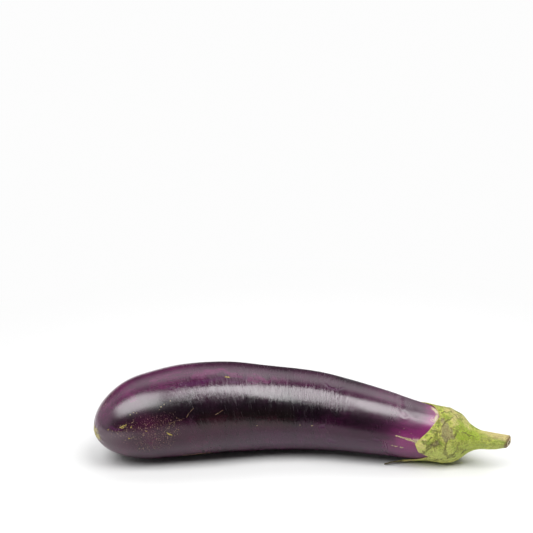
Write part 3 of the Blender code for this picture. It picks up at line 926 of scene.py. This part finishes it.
def skin_material():
    """Glossy purple skin, combed round its girth, with speckles, bruises and the scar."""
    material, n, shader = new_material("eggplant_skin")
    place = n.attribute("place")
    tone, scar, warm = n.split(n.attribute("paint"))
    bruise, dull, dust = n.split(n.attribute("wear"))

    mottle = n.noise(place, 0.17, detail=4.0)
    grain = n.noise(place, 1.6, detail=3.0)
    fibres = n.noise(n.vector("MULTIPLY", place, (0.12, 1.0, 1.0)), 0.9, detail=3.0)
    stretch = (1.0, COMBING_STRETCH, COMBING_STRETCH)
    slanted = n.add(
        "ShaderNodeMapping",
        {"Vector": place, "Rotation": (0.0, COMBING_SLANT, 0.0), "Scale": stretch},
        vector_type="TEXTURE",
    )
    combing = n.noise(slanted.outputs["Vector"], 1.0, detail=3.0, roughness=0.62)
    along = n.split(place)[0]
    combed = n.times(n.ramp(along, *COMBING_STARTS), n.ramp(along, *COMBING_ENDS))
    combing = n.times(n.swing(combing, 1.0), combed)

    depth = n.sum(tone, n.swing(mottle, 0.16), n.swing(grain, 0.08), n.swing(fibres, 0.14))
    skin = n.mix(n.ramp(depth, 0.0, 0.5), NEAR_BLACK, PURPLE)
    skin = n.mix(n.ramp(depth, 0.42, 1.0), skin, MAGENTA)
    skin = n.mix(warm, skin, n.vector("MULTIPLY", skin, WARMER))

    flecks = n.noise(place, 1.2, detail=4.0, roughness=0.75)
    dusty = n.ramp(n.sum(flecks, n.times(dust, 0.17)), 0.75, 0.81, 0.0, 0.75)
    skin = n.mix(dusty, skin, TAN)
    dark = n.ramp(n.sum(bruise, n.swing(grain, 0.7)), 0.45, 0.7, 0.0, 0.9)
    skin = n.mix(dark, skin, BRUISE)
    pale = n.ramp(n.sum(tone, n.swing(grain, 0.8)), 1.1, 1.75, 0.0, 0.85)
    skin = n.mix(pale, skin, CREAM)

    ragged = n.sum(scar, n.swing(grain, 1.2))
    on_scar = n.ramp(ragged, 0.8, 1.35, 0.9, 0.0)
    heart = n.ramp(ragged, 0.25, 0.6, 1.0, 0.0)
    skin = n.mix(on_scar, skin, n.mix(heart, SCAR_GREEN, SCAR_BROWN))

    marks = n.math("MAXIMUM", n.math("MAXIMUM", pale, dusty), on_scar)
    roughness = n.sum(
        SKIN_ROUGHNESS, n.times(combing, 0.27), n.times(marks, 0.3), n.times(dull, 0.2)
    )
    relief = n.sum(n.times(combing, 0.6), n.times(grain, 0.08), n.times(bruise, -0.15))
    finish_surface(n, shader, skin, roughness, relief, FINE_BUMP)
    n.fill(shader, {"IOR": SKIN_IOR})
    return material


CRUST_WORN = (0.55, 0.45, 0.35)


def crust_material():
    """Dry corky crust in the colours stored on it."""
    material, n, shader = new_material("eggplant_crust")
    paint = n.attribute("paint")
    grain = n.noise(n.attribute("place"), 3.0, detail=3.0)
    worn = n.vector("MULTIPLY", paint, CRUST_WORN)
    crust = n.mix(n.ramp(grain, 0.4, 0.65), worn, paint)
    finish_surface(n, shader, crust, n.ramp(grain, 0.3, 0.7, 0.45, 0.7), grain, FINE_BUMP)
    return material


GREEN = colour(0.2, 0.26, 0.032)
LIGHT_GREEN = colour(0.4, 0.44, 0.07)
OLIVE = colour(0.13, 0.125, 0.035)
LIME = colour(0.24, 0.34, 0.014)
PALE_YELLOW = colour(0.5, 0.48, 0.12)
PAINTED_BOUNCE_GREEN = colour(0.54, 0.6, 0.15)
RUSSET = colour(0.13, 0.075, 0.028)
GREY_BROWN = colour(0.22, 0.18, 0.1)
DARK_BROWN = colour(0.05, 0.032, 0.012)
DRY_TAN = colour(0.5, 0.41, 0.18)
CUT_CREAM = colour(0.58, 0.49, 0.3)
CUT_EDGE_BROWN = colour(0.11, 0.06, 0.025)
CALYX_ROUGHNESS = 0.46
CALYX_IOR = 1.4
CALYX_BUMP = 0.0009


def calyx_material():
    """Dull green calyx with russet netting, pale lobe edges, painted rim light, painted shade in
    its creases, painted bounce light below, dry tips and the cut end.
    """
    material, n, shader = new_material("calyx_green")
    place = n.attribute("place")
    down, edge, cut = n.split(n.attribute("paint"))
    crease, shade, dry = n.split(n.attribute("wear"))
    along, _, height = n.split(place)

    mottle = n.noise(place, 0.3, detail=5.0, roughness=0.6)
    grain = n.noise(place, 1.7, detail=4.0, roughness=0.65)
    fibres = n.noise(n.vector("MULTIPLY", place, (0.18, 1.0, 1.0)), 1.0, detail=4.0)
    veins = n.noise(place, 0.36, detail=5.0, roughness=0.65, distortion=0.9)
    net = n.ramp(n.math("ABSOLUTE", n.swing(veins, 1.0)), 0.01, 0.07, 1.0, 0.0)
    corky = n.ramp(n.sum(n.noise(place, 0.14, detail=3.0), n.times(height, 0.006)), 0.4, 0.6)

    green = n.mix(n.ramp(mottle, 0.4, 0.6), GREEN, LIGHT_GREEN)
    olive = n.ramp(n.noise(place, 0.42, detail=3.0), 0.5, 0.62, 0.0, 0.65)
    green = n.mix(n.times(olive, corky), green, OLIVE)
    streaks = n.times(n.ramp(fibres, 0.44, 0.66, 0.0, 0.75), n.ramp(along, 214.0, 226.0, 1.0, 0.25))
    green = n.mix(streaks, green, PALE_YELLOW)
    # Painted bounce light from the floor: the calyx turns paler green lower down.
    green = n.mix(n.ramp(height, 4.0, -6.0, 0.0, 0.6), green, PAINTED_BOUNCE_GREEN)
    lime = n.ramp(n.sum(shade, n.swing(mottle, 1.0), n.swing(grain, 0.5)), 0.3, 1.0, 0.0, 0.8)
    shoulder = n.times(n.ramp(along, 207.0, 214.0), n.ramp(along, 220.0, 228.0, 0.35, 0.0))
    green = n.mix(n.math("MAXIMUM", lime, shoulder), green, LIME)
    facet = n.ramp(n.sum(along, n.swing(mottle, 6.0)), 219.0, 229.0)
    above = n.sum(height, n.swing(grain, 0.8), n.times(along, 0.14))
    top_of_stem = n.times(facet, n.ramp(above, 35.1, 36.4, 0.0, 0.85))
    green = n.mix(top_of_stem, green, DRY_TAN)
    greyed = n.ramp(n.sum(shade, n.swing(mottle, 0.8)), -0.3, -0.8, 0.0, 0.7)
    green = n.mix(greyed, green, GREY_BROWN)

    netting = n.times(net, n.sum(0.3, n.times(corky, 0.55)))
    netting = n.times(netting, n.ramp(along, 212.0, 224.0, 1.0, 0.4))
    netting = n.times(netting, n.ramp(down, 0.0, 0.5, 1.0, 0.45))
    green = n.mix(netting, green, RUSSET)
    green = n.mix(n.ramp(grain, 0.54, 0.68, 0.0, 0.6), green, RUSSET)

    dryness = n.sum(dry, n.swing(mottle, 0.5), n.swing(grain, 0.8))
    green = n.mix(n.ramp(dryness, 0.25, 0.7, 0.0, 0.85), green, DRY_TAN)
    # Pale lobe edges, and the painted rim light along the calyx's lower edge.
    green = n.mix(n.ramp(edge, 0.25, 0.9, 0.0, 0.8), green, PALE_YELLOW)
    green = n.mix(n.ramp(dryness, 1.2, 1.7, 0.0, 0.95), green, DARK_BROWN)
    # Painted shade: the calyx's creases turn dark brown.
    dark = n.ramp(n.sum(crease, n.swing(grain, 1.0), n.swing(mottle, 0.6)), 0.5, 1.15, 0.0, 0.72)
    green = n.mix(dark, green, DARK_BROWN)

    worn = n.sum(along, n.swing(grain, 2.4), n.swing(mottle, 2.0), n.times(height, -0.45))
    near_cut = n.ramp(worn, 236.4, 238.6, 0.0, 0.9)
    green = n.mix(near_cut, green, CUT_EDGE_BROWN)
    face = n.mix(n.ramp(grain, 0.45, 0.7, 0.0, 0.6), CUT_CREAM, RUSSET)
    green = n.mix(n.ramp(cut, 1.9, 2.05), green, face)
    green = n.mix(n.ramp(cut, 2.8, 3.2), green, DARK_BROWN)

    roughness = n.sum(CALYX_ROUGHNESS, n.swing(grain, 0.15), n.times(netting, 0.2))
    relief = n.sum(veins, n.times(grain, 0.5), n.times(fibres, 0.9), n.times(mottle, 0.8))
    finish_surface(n, shader, green, roughness, relief, CALYX_BUMP)
    n.fill(shader, {"IOR": CALYX_IOR})
    return material


FLOOR_SIZE = 8.0
FLOOR_DROP = 0.0001

# The floor as it is seen and as it lights the eggplant, and then as the skin mirrors
# it: in front, close in front, at the left, behind and far in front.
FLOOR_COLOUR = grey(0.655)
FLOOR_BOUNCE = grey(0.88)
MIRRORED_FRONT = colour(0.27, 0.265, 0.265)
MIRRORED_NEAR = colour(0.48, 0.48, 0.5)
MIRRORED_LEFT = colour(0.8, 0.76, 0.78)
MIRRORED_BEHIND = grey(0.06)
MIRRORED_FAR = grey(0.02)
BLACK = grey(0.0)
WHITE = grey(1.0)

# Where each of those parts begins and where it is full, in metres along X or Y. At
# the right the part behind fades to a share.
FRONT_REACH = (-0.3, -0.09)
NEAR_REACH = (-0.05, -0.022)
BEHIND_REACH = (0.03, 0.07)
LEFT_REACH = (-0.08, -0.14)
LEFT_FRONT_REACH = (-0.24, -0.1)
RIGHT_REACH = (0.02, 0.1)
RIGHT_SHARE = 0.35

# How far from the eggplant the floor turns evenly white, and how white.
EVEN_REACH = (0.12, 0.3)
SEEN_WHITE = 0.98


def make_floor():
    """A wide pale floor, evenly white away from the eggplant.

    The skin mirrors it paler close by and at the left, and darker behind and far off.
    """
    half = FLOOR_SIZE / 2.0
    data = bpy.data.meshes.new("floor")
    corners = [(x * half, y * half, -FLOOR_DROP) for x, y in ((-1, -1), (1, -1), (1, 1), (-1, 1))]
    data.from_pydata(corners, [], [(0, 1, 2, 3)])
    material, n, shader = new_material("floor_white")
    place = n.add("ShaderNodeNewGeometry").outputs["Position"]
    right, depth, _ = n.split(place)
    path = n.add("ShaderNodeLightPath").outputs
    left = n.ramp(right, *LEFT_REACH)
    near = n.mix(left, MIRRORED_NEAR, MIRRORED_LEFT)
    mirrored = n.mix(n.ramp(depth, *FRONT_REACH), MIRRORED_FAR, MIRRORED_FRONT)
    mirrored = n.mix(n.ramp(depth, *NEAR_REACH), mirrored, near)
    behind = n.times(n.ramp(depth, *BEHIND_REACH), n.math("SUBTRACT", 1.0, left))
    behind = n.times(behind, n.ramp(right, *RIGHT_REACH, 1.0, RIGHT_SHARE))
    mirrored = n.mix(behind, mirrored, MIRRORED_BEHIND)
    left_front = n.times(left, n.ramp(depth, *LEFT_FRONT_REACH))
    mirrored = n.mix(left_front, mirrored, MIRRORED_LEFT)
    even = n.times(n.ramp(n.vector("LENGTH", place), *EVEN_REACH), path["Is Camera Ray"])
    paint = n.mix(path["Is Diffuse Ray"], FLOOR_COLOUR, FLOOR_BOUNCE)
    paint = n.mix(path["Is Glossy Ray"], paint, mirrored)
    paint = n.mix(even, paint, BLACK)
    glow = n.times(even, SEEN_WHITE)
    n.fill(shader, {"Base Color": paint, "Emission Strength": glow, "Emission Color": WHITE})
    n.fill(shader, {"Roughness": 0.9, "Specular IOR Level": 0.0})
    data.materials.append(material)
    new_object("floor", data)


LAMP_HEIGHT = 0.8

# Each lamp: its left, right, front and back edge, how far it is turned, its radiance
# and whether the skin mirrors it.
LAMPS = (
    ("softbox_left", -0.86, -0.15, -0.79, -0.09, math.radians(7.0), 5.8, True),
    ("softbox_right", -0.03, 0.8, -0.49, 0.0, math.radians(14.0), 6.6, True),
    ("back_lamp", -0.7, 0.7, 0.15, 0.85, 0.0, 1.0, False),
)


def make_lamps():
    """Two large soft lamps above and in front of the eggplant, and one behind it."""
    for name, left, right, front, back, turn, radiance, mirrored in LAMPS:
        light = bpy.data.lights.new(name, "AREA")
        light.shape = "RECTANGLE"
        light.size = right - left
        light.size_y = back - front
        light.energy = radiance * math.pi * light.size * light.size_y
        lamp = new_object(name, light)
        lamp.location = ((left + right) / 2, (front + back) / 2, LAMP_HEIGHT)
        lamp.rotation_euler = (0.0, 0.0, turn)
        lamp.visible_camera = False
        lamp.visible_glossy = mirrored


# Radiance of the room round the eggplant: everywhere, and more where it is paler.
ROOM_DARK = 0.03
BACKDROP_RADIANCE = 1.4
LEFT_RADIANCE = 0.7
RIGHT_RADIANCE = 0.7


def make_world():
    """White to the camera. Round the eggplant: dark in front, paler behind and at the sides."""
    world = bpy.data.worlds.new("studio")
    bpy.context.scene.world = world
    world.use_nodes = True
    n = Nodes(world.node_tree)
    right, back, up = n.split(n.add("ShaderNodeTexCoord").outputs["Generated"])
    backdrop = n.times(n.ramp(back, 0.1, 0.5), n.ramp(up, 0.28, 0.95, 0.04, 1.0))
    right_behind = n.times(n.ramp(right, 0.14, 0.34), n.ramp(back, 0.0, 0.25))
    strength = n.sum(
        ROOM_DARK,
        n.times(backdrop, BACKDROP_RADIANCE),
        n.times(n.ramp(right, -0.6, -0.85), LEFT_RADIANCE),
        n.times(right_behind, RIGHT_RADIANCE),
    )
    seen = n.add("ShaderNodeLightPath").outputs["Is Camera Ray"]
    unseen = n.times(strength, n.math("SUBTRACT", 1.0, seen))
    strength = n.sum(n.times(seen, SEEN_WHITE), unseen)
    n.fill(world.node_tree.nodes["Background"], {"Strength": strength, "Color": WHITE})


def make_camera(shift):
    """The photograph's camera."""
    back = Vector((0.0, -math.cos(VIEW_ELEVATION), math.sin(VIEW_ELEVATION)))
    middle = PHOTO_SIZE / 2.0
    pitch = VIEW_ELEVATION - math.atan((MIDDLE_PIXEL[1] - middle) / FOCAL_PIXELS)
    yaw = math.atan((MIDDLE_PIXEL[0] - middle) / FOCAL_PIXELS)
    level = math.cos(pitch)
    forward = Vector((-math.sin(yaw) * level, math.cos(yaw) * level, -math.sin(pitch)))
    data = bpy.data.cameras.new("camera")
    data.sensor_width = SENSOR_WIDTH
    data.lens = SENSOR_WIDTH * FOCAL_PIXELS / PHOTO_SIZE
    camera = new_object("camera", data)
    camera.location = (back * VIEW_DISTANCE + Vector((0.0, 0.0, VIEW_HEIGHT))) * MM + shift
    camera.rotation_mode = "QUATERNION"
    camera.rotation_quaternion = forward.to_track_quat("-Z", "Y")
    bpy.context.scene.camera = camera


def shift_to_frame(piece, node):
    """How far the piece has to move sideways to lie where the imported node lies."""
    low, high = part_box(node)
    corners = np.array([vertex.co for vertex in piece.data.vertices])
    middle = (corners.min(axis=0) + corners.max(axis=0)) / 2.0
    wanted = (low + high) / 2.0
    return Vector((wanted.x - middle[0], wanted.y - middle[1], 0.0))


def main():
    bpy.context.scene.view_settings.view_transform = "Standard"
    fruit = make_fruit(skin_material())
    crusts = make_crusts(crust_material())
    calyx = make_calyx(calyx_material())
    shift = shift_to_frame(fruit, "fruit")
    roles = (
        (fruit, "fruit", "skin"),
        (crusts, "fruit", "skin"),
        (calyx, "calyx_and_stem", "calyx"),
    )
    for piece, node, slot in roles:
        piece.location = shift
        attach(piece, "root")
        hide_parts(node)
    make_floor()
    make_lamps()
    make_world()
    make_camera(shift)


main()
